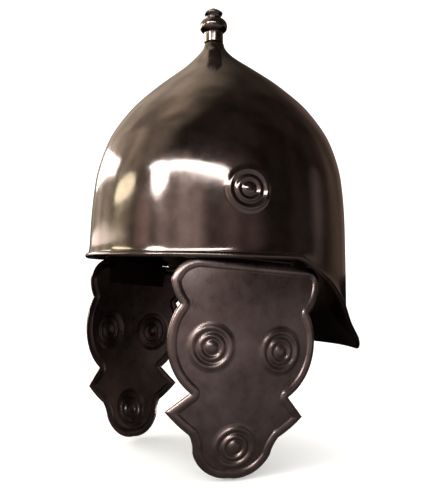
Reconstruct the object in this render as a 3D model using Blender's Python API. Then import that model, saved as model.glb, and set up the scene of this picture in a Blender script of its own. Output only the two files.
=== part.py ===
"""A steel legionary helmet: an onion-topped bowl with a rolled rim and a flared neck guard,
a turned finial on its peak, and two embossed cheek guards on hidden hinges.

Metres, +Z up. The wearer faces -Y and the wearer's left is +X. The origin is the middle of the
head opening, just below the rim at the sides.
"""
import bmesh
import bpy
import numpy as np
from mathutils.geometry import delaunay_2d_cdt

for old_object in list(bpy.data.objects):
    bpy.data.objects.remove(old_object, do_unlink=True)

# The sheet and the clearance between separate pieces.
SHEET = 0.0012
GAP = 0.0003

# Faces that meet at more than this many degrees are shaded with a sharp edge between them.
SHARP_ANGLE = 35.0
# A point that was moved inwards is kept while it is this share of the move from every edge.
KEPT_INSET_SHARE = 0.93

# The bowl, measured outside its wall.
BOWL_HALF_WIDTH = 0.1038
BOWL_HALF_LENGTH = 0.1122
BOWL_HEIGHT = 0.1908
# Each row is a section of the bowl: its height as a share of BOWL_HEIGHT, its size as a share
# of the half width and half length, how far its middle stands back, as a share of
# BOWL_HALF_LENGTH, and how round it is, from 0 (the oval of the rim) to 1 (a circle).
BOWL_SECTIONS = np.array([
    # height, radius, back, round
    (0.000, 1.000, -0.004, 0.0),
    (0.180, 0.990, 0.004, 0.0),
    (0.360, 0.961, 0.011, 0.0),
    (0.520, 0.880, 0.016, 0.0),
    (0.660, 0.728, 0.016, 0.1),
    (0.780, 0.511, 0.011, 0.3),
    (0.870, 0.300, -0.002, 0.6),
    (0.900, 0.228, -0.016, 0.8),
    (0.930, 0.163, -0.028, 1.0),
    (0.960, 0.111, -0.031, 1.0),
    (0.985, 0.084, -0.031, 1.0),
    (1.000, 0.080, -0.031, 1.0),
])

# The rim: its height over the origin at the sides, and its rise from there to the front. It
# drops behind the ears.
SIDE_RIM_HEIGHT = 0.0032
RIM_RISE = 0.0032
RIM_BEAD_RADIUS = 0.0022
RIM_BEAD_OUTSET = 0.0010
RIM_BEAD_SIDES = 10
LOWER_WALL_START = 1.5 * RIM_BEAD_RADIUS
LOWER_WALL_TOP = 0.012
NECK_GUARD_DEPTH = 0.075
NECK_GUARD_FLARE = 0.0108
NECK_GUARD_CORNER_AZIMUTH = 151.0
# Where the side edge of the neck guard runs: azimuth in degrees from the front, and the drop
# there as a share of the drop from the rim at the sides to NECK_GUARD_DEPTH below the origin.
NECK_GUARD_EDGE = np.array([
    # azimuth, drop
    (0.0, 0.000),
    (89.0, 0.000),
    (92.4, 0.018),
    (96.0, 0.060),
    (100.0, 0.116),
    (104.0, 0.175),
    (109.0, 0.243),
    (116.0, 0.363),
    (125.0, 0.533),
    (138.0, 0.768),
    (NECK_GUARD_CORNER_AZIMUTH, 0.995),
    (180.0, 1.000),
])
# How far the neck guard stands out: depth below the origin as a share of NECK_GUARD_DEPTH, and
# the distance out as a share of NECK_GUARD_FLARE.
NECK_GUARD_SECTION = np.array([
    # depth, out
    (0.00, 0.00),
    (0.50, 0.02),
    (0.60, 0.04),
    (0.65, 0.08),
    (0.69, 0.14),
    (0.75, 0.29),
    (0.82, 0.52),
    (0.88, 0.75),
    (1.00, 1.00),
])
# The rows of points up the wall: the lower ones as shares of the way from LOWER_WALL_START above
# the rim to the level LOWER_WALL_TOP, and the upper ones as shares of BOWL_HEIGHT.
LOWER_WALL_ROWS = (0.0, 0.11, 0.22, 0.33, 0.46, 0.62, 0.80, 1.0)
UPPER_WALL_SHARES = (0.482, 0.565, 0.640, 0.710, 0.770, 0.825, 0.870, 0.905, 0.933, 0.962, 1.0)
INNER_TOP_SHARE = 0.933
INNER_PEAK_SHARE = 0.947

# The embossed bosses: each row is a ring of the boss, its radius as a share of the boss's own
# radius and how far it stands out as a share of BOSS_RELIEF.
BOSS_RELIEF = 0.0018
BOSS_RINGS = np.array([
    # radius, out
    (1.00, 0.00),
    (0.80, 0.90),
    (0.61, 0.10),
    (0.45, 0.85),
    (0.30, 0.10),
    (0.00, 1.00),
])
BOWL_BOSS_RADIUS = 0.0182
BOWL_BOSS_HEIGHT = 0.053
BOWL_BOSS_SIDES = 20
HINGE_AZIMUTH = 69.4
# A boss fills a window of the wall's cells, this many to each side of the boss's middle.
BOSS_WINDOW_CELLS = 2
BOSS_WINDOW_STEP = 0.012
# The columns of points round each half of the bowl: an azimuth and the cells from it to the next.
BOWL_COLUMNS = ((0.0, 9), (HINGE_AZIMUTH, 3), (90.0, 9), (NECK_GUARD_CORNER_AZIMUTH, 3), (180.0, 0))

# The finial, turned in one piece with a tang that goes into the bowl's collar.
FINIAL_HEIGHT = 0.031
FINIAL_RADIUS = 0.0120
FINIAL_NECK_RADIUS = 0.0083
FINIAL_SIDES = 24
FINIAL_TANG_RADIUS = 0.0030
FINIAL_TANG_LENGTH = 0.0062
# Height as a share of FINIAL_HEIGHT and radius as a share of FINIAL_RADIUS, above the neck.
FINIAL_TURNING = np.array([
    # height, radius
    (0.305, 0.74),
    (0.345, 0.88),
    (0.410, 0.98),
    (0.486, 1.00),
    (0.565, 0.95),
    (0.635, 0.82),
    (0.700, 0.60),
    (0.725, 0.53),
    (0.765, 0.56),
    (0.815, 0.65),
    (0.848, 0.67),
    (0.890, 0.57),
    (0.945, 0.34),
    (1.000, 0.00),
])

# The cheek guards, in the plane of the sheet. Across is measured from the guard's middle line,
# positive towards the back of the head, and down from its straight top edge.
GUARD_HALF_WIDTH = 0.0600
GUARD_LENGTH = 0.1596
GUARD_TOP_FRONT = 0.0387
GUARD_TOP_REAR = 0.0517
# Half of the outline below the shoulder: across as a share of GUARD_HALF_WIDTH, down as a share
# of GUARD_LENGTH, and the bulge of the edge that leads to the next row: the rise of its arc over
# half its chord, positive where it swells outwards. The shoulders are rows of the same kind, and
# the corners are the bulges of the edges that lead up from them to the top.
GUARD_OUTLINE = np.array([
    # across, down, bulge
    (0.865, 0.217, 0.41),
    (0.644, 0.609, 0.00),
    (0.914, 0.705, 0.05),
    (0.586, 0.801, -0.14),
    (0.507, 0.883, 0.34),
    (0.000, 1.000, 0.00),
])
GUARD_FRONT_SHOULDER = (0.988, 0.114, 0.16)
GUARD_REAR_SHOULDER = (1.032, 0.083, 0.20)
GUARD_FRONT_CORNER_BULGE = 0.33
GUARD_REAR_CORNER_BULGE = 0.42
GUARD_EDGE_STEP = 0.0092
GUARD_FIELD_STEP = 0.018
# The field's own points keep this share of a boss's radius from its middle.
GUARD_FIELD_BOSS_SHARE = 1.25
GUARD_BORDER_RELIEF = 0.0015
GUARD_BORDER_CREST = 0.0038
GUARD_BORDER_FOOT = 0.0074
GUARD_BOSS_RADIUS = 0.0176
GUARD_BOSS_SIDES = 16
# The middles of the bosses: across as a share of GUARD_HALF_WIDTH, down as a share of
# GUARD_LENGTH.
GUARD_BOSSES = np.array([
    # across, down
    (-0.448, 0.395),
    (0.448, 0.395),
    (0.000, 0.846),
])
# How a guard hangs: how far its sheet is set in from the bowl's wall, how far its top edge
# hangs below the rim, how it is turned and bent, how far it swells out half way down, and how
# far the middle line is set back.
GUARD_SET_IN = 0.0087
GUARD_BELOW_RIM = 0.0047
GUARD_TURN = -5.1
GUARD_LEAN = -4.0
GUARD_CANT = 5.7
GUARD_SET_BACK = 0.0052
GUARD_BEND_RADIUS = 0.187
GUARD_SWELL = 0.0088

# The hinges, behind the rim: a leaf inside the bowl, a leaf inside the guard, and a pin.
HINGE_WIDTH = 0.066
HINGE_MIDDLE_WIDTH = 0.056
HINGE_ABOVE_GUARD = 0.0028
HINGE_LEAF = 0.0010
HINGE_LEAF_CLEARANCE = 0.0006
HINGE_LEAF_HEIGHT = 0.020
HINGE_LEAF_BEND = 0.0075
KNUCKLE_RADIUS = 0.0025
PIN_RADIUS = 0.0011
PIN_PAST_END = 0.0006
HINGE_SIDES = 12
LEAF_MIDDLE_OFF_SHEET = HINGE_LEAF_CLEARANCE + HINGE_LEAF / 2
# The columns of points along a hinge, from its middle: its ends and both sides of each gap
# between two knuckles.
HINGE_COLUMNS = np.array([
    -HINGE_WIDTH / 2,
    -HINGE_MIDDLE_WIDTH / 2 - GAP,
    -HINGE_MIDDLE_WIDTH / 2,
    HINGE_MIDDLE_WIDTH / 2,
    HINGE_MIDDLE_WIDTH / 2 + GAP,
    HINGE_WIDTH / 2,
])
# Azimuths of the bowl's wall that the hinge may lie behind.
HINGE_REACH = HINGE_AZIMUTH + np.linspace(-35.0, 35.0, 281)


def metal(name, colour, roughness):
    """A plain metal of one colour."""
    material = bpy.data.materials.new(name)
    material.use_nodes = True
    shader = material.node_tree.nodes["Principled BSDF"]
    shader.inputs["Base Color"].default_value = (*colour, 1.0)
    shader.inputs["Metallic"].default_value = 1.0
    shader.inputs["Roughness"].default_value = roughness
    return material


BOWL_STEEL = metal("antiqued_polished_steel", (0.115, 0.095, 0.085), 0.18)
GUARD_STEEL = metal("antiqued_satin_steel", (0.105, 0.090, 0.092), 0.32)
HINGE_STEEL = metal("plain_dark_steel", (0.060, 0.055, 0.052), 0.45)


def solid(name, points, faces, material, origin=(0.0, 0.0, 0.0), parent=None):
    """One closed object from points in world space, with its faces turned outwards."""
    mesh = bpy.data.meshes.new(name)
    local = np.asarray(points, dtype=float) - np.asarray(origin, dtype=float)
    mesh.from_pydata(local.tolist(), [], [tuple(int(i) for i in face) for face in faces])
    work = bmesh.new()
    work.from_mesh(mesh)
    bmesh.ops.recalc_face_normals(work, faces=work.faces)
    work.to_mesh(mesh)
    work.free()
    mesh.shade_smooth()
    mesh.set_sharp_from_angle(angle=np.radians(SHARP_ANGLE))
    mesh.materials.append(material)
    piece = bpy.data.objects.new(name, mesh)
    bpy.context.collection.objects.link(piece)
    piece.parent = parent
    if parent is None:
        piece.location = origin
    return piece


def smooth_through(stations, values, at):
    """A smooth curve through the values that never overshoots between two stations."""
    at = np.clip(at, stations[0], stations[-1])
    steps = np.diff(stations)
    slopes = np.diff(values) / steps
    same = slopes[:-1] * slopes[1:] > 0
    safe = np.where(same, slopes[:-1] + slopes[1:], 1.0)
    inner = np.where(same, 2.0 * slopes[:-1] * slopes[1:] / safe, 0.0)
    tangents = np.concatenate([slopes[:1], inner, slopes[-1:]])
    i = np.clip(np.searchsorted(stations, at, side="right") - 1, 0, len(steps) - 1)
    t = (at - stations[i]) / steps[i]
    start = values[i] * (1 + 2 * t) * (1 - t) ** 2 + tangents[i] * steps[i] * t * (1 - t) ** 2
    end = values[i + 1] * t ** 2 * (3 - 2 * t) + tangents[i + 1] * steps[i] * t ** 2 * (t - 1)
    return start + end


def rim_height(azimuth):
    """The height of the rim bead's middle at an azimuth in degrees from the front."""
    azimuth = np.abs((np.asarray(azimuth) + 180.0) % 360.0 - 180.0)
    rise = RIM_RISE * np.maximum(np.cos(np.radians(azimuth)), 0.0)
    drop = smooth_through(NECK_GUARD_EDGE[:, 0], NECK_GUARD_EDGE[:, 1], azimuth)
    return SIDE_RIM_HEIGHT + rise - (SIDE_RIM_HEIGHT + NECK_GUARD_DEPTH) * drop


def wall(azimuth, height):
    """The outer face of the bowl: an oval section whose size follows the height, and which
    flares outwards below the origin."""
    azimuth, height = np.broadcast_arrays(np.asarray(azimuth, float), np.asarray(height, float))
    share = np.maximum(height, 0.0) / BOWL_HEIGHT
    at = BOWL_SECTIONS[:, 0]
    radius, back, roundness = (smooth_through(at, BOWL_SECTIONS[:, i], share) for i in (1, 2, 3))
    half_length = BOWL_HALF_LENGTH + (BOWL_HALF_WIDTH - BOWL_HALF_LENGTH) * roundness
    angle = np.radians(azimuth)
    depth = np.maximum(-height, 0.0) / NECK_GUARD_DEPTH
    out = NECK_GUARD_FLARE * smooth_through(NECK_GUARD_SECTION[:, 0], NECK_GUARD_SECTION[:, 1], depth)
    facing = np.stack([half_length * np.sin(angle), -BOWL_HALF_WIDTH * np.cos(angle)], axis=-1)
    facing /= np.linalg.norm(facing, axis=-1, keepdims=True)
    x = BOWL_HALF_WIDTH * radius * np.sin(angle) + out * facing[..., 0]
    y = -half_length * radius * np.cos(angle) + BOWL_HALF_LENGTH * back + out * facing[..., 1]
    return np.stack([x, y, height], axis=-1)


def unit(vectors):
    return vectors / np.linalg.norm(vectors, axis=-1, keepdims=True)


def degree_step(azimuth, height):
    """The way that one degree of azimuth goes along the bowl's outer face."""
    return wall(azimuth + 0.5, height) - wall(azimuth - 0.5, height)


def wall_normal(azimuth, height):
    """The outward direction of the bowl's outer face, from small steps round and up it."""
    azimuth = np.asarray(azimuth, float)
    rise = BOWL_HEIGHT / 500
    height = np.minimum(np.asarray(height, float), BOWL_HEIGHT - rise)
    up_step = wall(azimuth, height + rise) - wall(azimuth, height - rise)
    return unit(np.cross(degree_step(azimuth, height), up_step))


def boss_relief(flat, centre, radius):
    """How far a boss stands out at flat points of a sheet, from its rings."""
    share = np.linalg.norm(flat - np.asarray(centre), axis=-1) / radius
    return BOSS_RELIEF * np.interp(share, BOSS_RINGS[::-1, 0], BOSS_RINGS[::-1, 1])


def ring(centre, radius, sides):
    """Points evenly round a circle in the plane of a sheet."""
    turn = np.arange(sides) * 2 * np.pi / sides
    return np.stack([centre[0] + radius * np.cos(turn), centre[1] + radius * np.sin(turn)], axis=-1)


def boss_points(centre, radius, sides):
    """The rings of one boss and its middle point, as closed loops."""
    return [ring(centre, radius * share, sides) for share in BOSS_RINGS[:-1, 0]] + [np.array([centre])]


def fill_sheet(outline, guides):
    """Triangles inside a closed outline of flat points, with edges along the guides, which are
    closed loops or single points: the flat points, the triangles, all turned the same way, and
    the place of each of the outline's points among them."""
    points = np.concatenate([outline, *guides])
    edges = []
    start = 0
    for loop in (outline, *guides):
        count = len(loop)
        if count > 1:
            edges += [(start + i, start + (i + 1) % count) for i in range(count)]
        start += count
    made = delaunay_2d_cdt(points.tolist(), edges, [list(range(len(outline)))], 0, 1e-9, True)
    flat = np.array([tuple(point) for point in made[0]])
    faces = np.array([tuple(face) for face, inside in zip(made[2], made[5]) if inside])
    place = {source: i for i, sources in enumerate(made[3]) for source in sources}
    edge = [place[i] for i in range(len(outline))]
    a, b, c = (flat[faces[:, i]] for i in range(3))
    turned_over = (b[:, 0] - a[:, 0]) * (c[:, 1] - a[:, 1]) < (b[:, 1] - a[:, 1]) * (c[:, 0] - a[:, 0])
    faces[turned_over] = faces[turned_over][:, ::-1]
    return flat, faces, edge


def bowl_azimuths():
    """The azimuths of the columns of points, from the front round the left side and back."""
    spans = zip(BOWL_COLUMNS[:-1], BOWL_COLUMNS[1:])
    half = np.concatenate([np.linspace(start, end, cells, endpoint=False)
                           for (start, cells), (end, _) in spans])
    return np.concatenate([half, [180.0], -half[:0:-1]])


def wall_heights(rim):
    """The heights of the rows of points: the lower ones follow the rim, and the upper ones are
    level."""
    start = rim + LOWER_WALL_START
    lower = [start + share * (LOWER_WALL_TOP - start) for share in LOWER_WALL_ROWS]
    steps = range(-BOSS_WINDOW_CELLS, BOSS_WINDOW_CELLS + 1)
    levels = [BOWL_BOSS_HEIGHT + step * BOSS_WINDOW_STEP for step in steps]
    levels += [BOWL_HEIGHT * share for share in UPPER_WALL_SHARES]
    return np.array(lower + [np.full(len(rim), level) for level in levels])


def rim_bead(azimuths, rim):
    """Rows of points round the rim's bead: part of a circle round a line just outside the wall,
    square to the rim."""
    rim_line = wall(azimuths, rim)
    along = unit(np.roll(rim_line, -1, axis=0) - np.roll(rim_line, 1, axis=0))
    out = wall_normal(azimuths, rim)
    out = unit(out - along * np.sum(out * along, axis=-1, keepdims=True))
    down = np.cross(out, along)
    down *= np.sign(-down[:, 2:3])
    start_turn = np.arccos(-RIM_BEAD_OUTSET / RIM_BEAD_RADIUS)
    turns = np.linspace(start_turn, -np.pi, RIM_BEAD_SIDES)[:, None, None]
    centre = rim_line + RIM_BEAD_OUTSET * out
    return centre + RIM_BEAD_RADIUS * (np.cos(turns) * out - np.sin(turns) * down)


def window_corners():
    """The corners of a boss's window, as steps up and across from its middle, in a loop."""
    far = BOSS_WINDOW_CELLS
    bottom = [(-far, across) for across in range(-far, far)]
    side = [(up, far) for up in range(-far, far)]
    return bottom + side + [(-up, -across) for up, across in bottom + side]


def bowl_boss(azimuths, column):
    """The boss on one column of the bowl, filling its window: the triangles, the places of the
    window's corners among their points, the places of the boss's own points, and where those
    are on the outer and on the inner face."""
    azimuth = azimuths[column]
    degree = np.linalg.norm(degree_step(azimuth, BOWL_BOSS_HEIGHT))
    window = np.array([((azimuths[column + across] - azimuth) * degree, up * BOSS_WINDOW_STEP)
                       for up, across in window_corners()])
    middle = (0.0, 0.0)
    flat, triangles, edge = fill_sheet(window, boss_points(middle, BOWL_BOSS_RADIUS, BOWL_BOSS_SIDES))
    own = np.setdiff1d(np.arange(len(flat)), edge)
    turn = azimuth + flat[own, 0] / degree
    level = BOWL_BOSS_HEIGHT + flat[own, 1]
    relief = boss_relief(flat[own], middle, BOWL_BOSS_RADIUS)[:, None]
    on_wall, normal = wall(turn, level), wall_normal(turn, level)
    return triangles, edge, own, on_wall + relief * normal, on_wall + (relief - SHEET) * normal


def make_bowl():
    """Rows of points round the bowl, outside and inside, with a rolled bead along the rim, a
    boss over each hinge and a hole in the collar for the finial's tang."""
    azimuths = bowl_azimuths()
    columns = len(azimuths)
    boss_columns = (BOWL_COLUMNS[0][1], columns - BOWL_COLUMNS[0][1])
    rim = rim_height(azimuths)
    heights = wall_heights(rim)
    outer = wall(azimuths[None, :], heights)
    inner = outer - SHEET * wall_normal(azimuths[None, :] + 0.0 * heights, heights)
    bead = rim_bead(azimuths, rim)

    # One closed section from the collar down the outside, round the bead and up the inside,
    # without the cells that the bosses fill.
    level_rows = 2 * BOSS_WINDOW_CELLS + 1 + sum(share <= INNER_TOP_SHARE for share in UPPER_WALL_SHARES)
    rows = [*outer[::-1], *bead, *inner[:len(LOWER_WALL_ROWS) + level_rows]]
    points = np.concatenate(rows)
    boss_row = len(LOWER_WALL_ROWS) + BOSS_WINDOW_CELLS
    outer_row = len(outer) - 1 - boss_row
    inner_row = len(outer) + len(bead) + boss_row
    window = range(-BOSS_WINDOW_CELLS, BOSS_WINDOW_CELLS)
    cut = {(row + up, column + across) for row in (outer_row, inner_row) for column in boss_columns
           for up in window for across in window}
    faces = []
    for row in range(len(rows) - 1):
        for column in range(columns):
            a = row * columns + column
            b = row * columns + (column + 1) % columns
            if (row, column) not in cut:
                faces.append((a, a + columns, b + columns, b))

    # The bosses.
    for column in boss_columns:
        triangles, edge, own, outer_boss, inner_boss = bowl_boss(azimuths, column)
        for row, sign, boss in ((outer_row, -1, outer_boss), (inner_row, 1, inner_boss)):
            index = np.zeros(len(edge) + len(own), dtype=int)
            index[edge] = [(row + sign * up) * columns + column + across for up, across in window_corners()]
            index[own] = np.arange(len(points), len(points) + len(own))
            points = np.concatenate([points, boss])
            faces += [tuple(face) for face in index[triangles]]

    # The inside closes under the collar.
    peak = len(points)
    collar_centre = wall(azimuths, BOWL_HEIGHT).mean(axis=0)
    points = np.concatenate([points, [[collar_centre[0], collar_centre[1], BOWL_HEIGHT * INNER_PEAK_SHARE]]])
    top = (len(rows) - 1) * columns
    faces += [(top + i, peak, top + (i + 1) % columns) for i in range(columns)]

    # The collar's top and the hole for the tang.
    hole_radius = FINIAL_TANG_RADIUS + GAP
    directions = unit(wall(azimuths, BOWL_HEIGHT) - collar_centre)
    lip = collar_centre + hole_radius * directions
    floor = lip - np.array([0.0, 0.0, FINIAL_TANG_LENGTH + GAP])
    base = len(points)
    points = np.concatenate([points, lip, floor])
    faces += [(i, (i + 1) % columns, base + (i + 1) % columns, base + i) for i in range(columns)]
    faces += [(base + i, base + (i + 1) % columns, base + columns + (i + 1) % columns, base + columns + i)
              for i in range(columns)]
    faces.append(tuple(base + columns + i for i in range(columns)))
    return solid("bowl", points, faces, BOWL_STEEL)


def turned(name, profile, centre, sides, material):
    """A solid turned from (radius, height) pairs, listed from its bottom middle to its top
    middle, about an upright line through centre."""
    turn = np.arange(sides) * 2 * np.pi / sides
    circle = np.stack([np.cos(turn), np.sin(turn), np.zeros(sides)], axis=-1)
    points = [[centre[0], centre[1], centre[2] + profile[0][1]]]
    for radius, height in profile[1:-1]:
        points += (np.asarray(centre) + radius * circle + np.array([0.0, 0.0, height])).tolist()
    points.append([centre[0], centre[1], centre[2] + profile[-1][1]])
    faces = [(0, 1 + (i + 1) % sides, 1 + i) for i in range(sides)]
    for level in range(len(profile) - 3):
        base = 1 + level * sides
        faces += [(base + i, base + (i + 1) % sides, base + sides + (i + 1) % sides, base + sides + i)
                  for i in range(sides)]
    base = 1 + (len(profile) - 3) * sides
    faces += [(base + i, base + (i + 1) % sides, len(points) - 1) for i in range(sides)]
    return solid(name, points, faces, material)


def make_finial():
    """The finial's neck stands on the collar and its tang goes down into it."""
    centre = wall(np.arange(0.0, 360.0, 30.0), BOWL_HEIGHT).mean(axis=0) + np.array([0.0, 0.0, GAP])
    profile = [(0.0, -FINIAL_TANG_LENGTH), (FINIAL_TANG_RADIUS, -FINIAL_TANG_LENGTH),
               (FINIAL_TANG_RADIUS, 0.0), (FINIAL_NECK_RADIUS, 0.0),
               (FINIAL_NECK_RADIUS, FINIAL_TURNING[0, 0] * FINIAL_HEIGHT - GAP)]
    profile += [(radius * FINIAL_RADIUS, height * FINIAL_HEIGHT) for height, radius in FINIAL_TURNING]
    return turned("finial", profile, centre, FINIAL_SIDES, BOWL_STEEL)


def arc(start, end, bulge, step):
    """Points from start up to, but not with, end along an arc of the given bulge."""
    start, end = np.asarray(start, float), np.asarray(end, float)
    chord = end - start
    length = np.linalg.norm(chord)
    if abs(bulge) < 1e-6:
        count = max(1, int(round(length / step)))
        return start + np.arange(count)[:, None] / count * chord
    sweep = 4 * np.arctan(bulge)
    radius = length / (2 * np.sin(sweep / 2))
    side = np.array([chord[1], -chord[0]]) / length
    centre = (start + end) / 2 - side * radius * np.cos(sweep / 2)
    count = max(2, int(np.ceil(abs(radius * sweep) / step)))
    turn = sweep * np.arange(count) / count
    arm = start - centre
    return centre + np.stack([arm[0] * np.cos(turn) - arm[1] * np.sin(turn),
                              arm[0] * np.sin(turn) + arm[1] * np.cos(turn)], axis=-1)


def guard_outline():
    """The cheek guard's edge as a closed loop of (across, down) points: along the top, down
    the rear side, round the bottom and up the front side."""
    size = np.array([GUARD_HALF_WIDTH, GUARD_LENGTH])
    rear, front = ([(row[:2] * size, row[2]) for row in np.vstack([shoulder, GUARD_OUTLINE])]
                   for shoulder in (GUARD_REAR_SHOULDER, GUARD_FRONT_SHOULDER))
    corners = [((-GUARD_TOP_FRONT, 0.0), 0.0), ((GUARD_TOP_REAR, 0.0), GUARD_REAR_CORNER_BULGE)]
    corners += rear[:-1]
    corners += [(front[i][0] * (-1, 1), front[i - 1][1]) for i in range(len(front) - 1, 0, -1)]
    corners.append((front[0][0] * (-1, 1), GUARD_FRONT_CORNER_BULGE))
    pieces = []
    for i, (point, bulge) in enumerate(corners):
        pieces.append(arc(point, corners[(i + 1) % len(corners)][0], bulge, GUARD_EDGE_STEP))
    return np.concatenate(pieces)


def inset_loop(outline, distance):
    """The loop that lies a distance inside an outline: the outline's points moved inwards,
    without those that come too near to another part of the edge."""
    ahead = np.roll(outline, -1, axis=0) - outline
    behind = outline - np.roll(outline, 1, axis=0)
    samples = np.concatenate([outline + share * ahead for share in (0.0, 0.25, 0.5, 0.75)])
    middle_normals = unit(np.stack([-ahead[:, 1], ahead[:, 0]], axis=-1))
    corner = unit(middle_normals + unit(np.stack([-behind[:, 1], behind[:, 0]], axis=-1)))
    moved = outline + distance * corner
    gaps = np.linalg.norm(moved[:, None, :] - samples[None, :, :], axis=-1).min(axis=1)
    return moved[gaps > KEPT_INSET_SHARE * distance]


def field_points(foot, bosses):
    """A wide grid of single points over the guard's plain field, so that it follows the bend:
    those well inside the border's foot and clear of the bosses."""
    low, high = foot.min(axis=0), foot.max(axis=0)
    across, down = (np.arange(low[i] + GUARD_FIELD_STEP / 2, high[i], GUARD_FIELD_STEP) for i in (0, 1))
    grid = np.stack(np.meshgrid(across, down, indexing="ij"), axis=-1).reshape(-1, 2)
    ahead = np.roll(foot, -1, axis=0)
    crosses = (foot[None, :, 1] > grid[:, None, 1]) != (ahead[None, :, 1] > grid[:, None, 1])
    run = (ahead - foot)[None, :, :]
    rise = np.where(np.abs(run[..., 1]) > 1e-12, run[..., 1], 1.0)
    meets = foot[None, :, 0] + (grid[:, None, 1] - foot[None, :, 1]) * run[..., 0] / rise
    inside = np.sum(crosses & (meets > grid[:, None, 0]), axis=1) % 2 == 1
    from_foot = np.linalg.norm(grid[:, None, :] - foot[None, :, :], axis=-1).min(axis=1)
    from_boss = np.linalg.norm(grid[:, None, :] - np.array(bosses)[None, :, :], axis=-1).min(axis=1)
    clear = (from_foot > GUARD_FIELD_STEP / 3) & (from_boss > GUARD_FIELD_BOSS_SHARE * GUARD_BOSS_RADIUS)
    return grid[inside & clear][:, None, :]


def border_relief(flat, outline):
    """How far the guard's raised border stands out, from each point's distance to the edge."""
    run = np.roll(outline, -1, axis=0) - outline
    offset = flat[:, None, :] - outline[None, :, :]
    share = np.clip(np.sum(offset * run, axis=-1) / np.sum(run * run, axis=-1), 0.0, 1.0)
    distance = np.linalg.norm(offset - share[..., None] * run, axis=-1).min(axis=1)
    return np.interp(distance, [0.0, GUARD_BORDER_CREST, GUARD_BORDER_FOOT], [0.0, GUARD_BORDER_RELIEF, 0.0])


def guard_frame():
    """The top middle of a left cheek guard, with the directions rearwards, outwards and up."""
    azimuth = HINGE_AZIMUTH
    level = float(rim_height(azimuth))
    out = wall_normal(azimuth, level)
    turned_by = np.radians(GUARD_TURN)
    facing = np.arctan2(-out[1], out[0]) + turned_by
    outwards = np.array([np.cos(facing), -np.sin(facing), 0.0])
    rearwards = np.array([np.sin(facing), np.cos(facing), 0.0])
    wall_out = unit(np.array([out[0], out[1], 0.0]))
    top = wall(azimuth, level) - GUARD_SET_IN * wall_out - np.array([0.0, 0.0, GUARD_BELOW_RIM])
    return top, rearwards, outwards


def on_guard(across, down, proud):
    """A place on the left guard: across and down its sheet, and proud of the sheet's middle,
    where the sheet is bent round an upright line, swells out half way down, leans and is canted
    in its own plane."""
    top, rearwards, outwards = guard_frame()
    cant, lean = np.radians(GUARD_CANT), np.radians(GUARD_LEAN)
    u = GUARD_SET_BACK + across * np.cos(cant) - down * np.sin(cant)
    v = across * np.sin(cant) + down * np.cos(cant)
    bend = u / GUARD_BEND_RADIUS
    along = (GUARD_BEND_RADIUS + proud) * np.sin(bend)
    in_out = (GUARD_BEND_RADIUS + proud) * np.cos(bend) - GUARD_BEND_RADIUS
    in_out = in_out + GUARD_SWELL * (1 - (2 * v / GUARD_LENGTH - 1) ** 2)
    out = in_out * np.cos(lean) + v * np.sin(lean)
    fall = v * np.cos(lean) - in_out * np.sin(lean)
    up = np.array([0.0, 0.0, 1.0])
    return top + along[..., None] * rearwards + out[..., None] * outwards - fall[..., None] * up


def hinge_line():
    """The middle of the left hinge's axis, with its directions along, outwards and upwards. The
    axis is as far out as the bowl's wall and the guard's leaf both let it be."""
    top, rearwards, outwards = guard_frame()
    cant = np.radians(GUARD_CANT)
    up = np.array([0.0, 0.0, 1.0])
    along = rearwards * np.cos(cant) - up * np.sin(cant)
    upwards = up * np.cos(cant) + rearwards * np.sin(cant)
    offsets = wall(HINGE_REACH, float(rim_height(HINGE_AZIMUTH))) - top
    reach = np.abs(offsets @ rearwards - GUARD_SET_BACK) <= HINGE_WIDTH / 2
    wall_limit = (offsets @ outwards)[reach].min() - SHEET - GAP - KNUCKLE_RADIUS
    ends = on_guard(np.array([-0.5, 0.5]) * HINGE_WIDTH, np.zeros(2), -SHEET / 2 - HINGE_LEAF_CLEARANCE)
    guard_limit = ((ends - top) @ outwards).min() - HINGE_LEAF / 2
    middle = top + GUARD_SET_BACK * rearwards + HINGE_ABOVE_GUARD * upwards
    return middle + min(wall_limit, guard_limit) * outwards, along, outwards, upwards


def tube(points_along, middle, along, outwards, upwards, outer_radius, bore):
    """Separate round lengths on the hinge's axis, each from one place along it to another."""
    turn = np.arange(HINGE_SIDES) * 2 * np.pi / HINGE_SIDES
    around = np.cos(turn)[:, None] * outwards + np.sin(turn)[:, None] * upwards
    points, faces = [], []
    n = HINGE_SIDES
    for start, end in points_along:
        base = len(points)
        for place, radius in ((start, outer_radius), (end, outer_radius), (end, bore), (start, bore)):
            points += (middle + place * along + radius * around).tolist()
        loops = 4 if bore > 0 else 2
        for level in range(loops if bore > 0 else 1):
            a, b = base + level * n, base + (level + 1) % loops * n
            faces += [(a + i, b + i, b + (i + 1) % n, a + (i + 1) % n) for i in range(n)]
        if bore == 0:
            del points[base + 2 * n:]
            faces.append(tuple(base + i for i in range(n)))
            faces.append(tuple(base + n + i for i in reversed(range(n))))
    return points, faces


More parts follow.
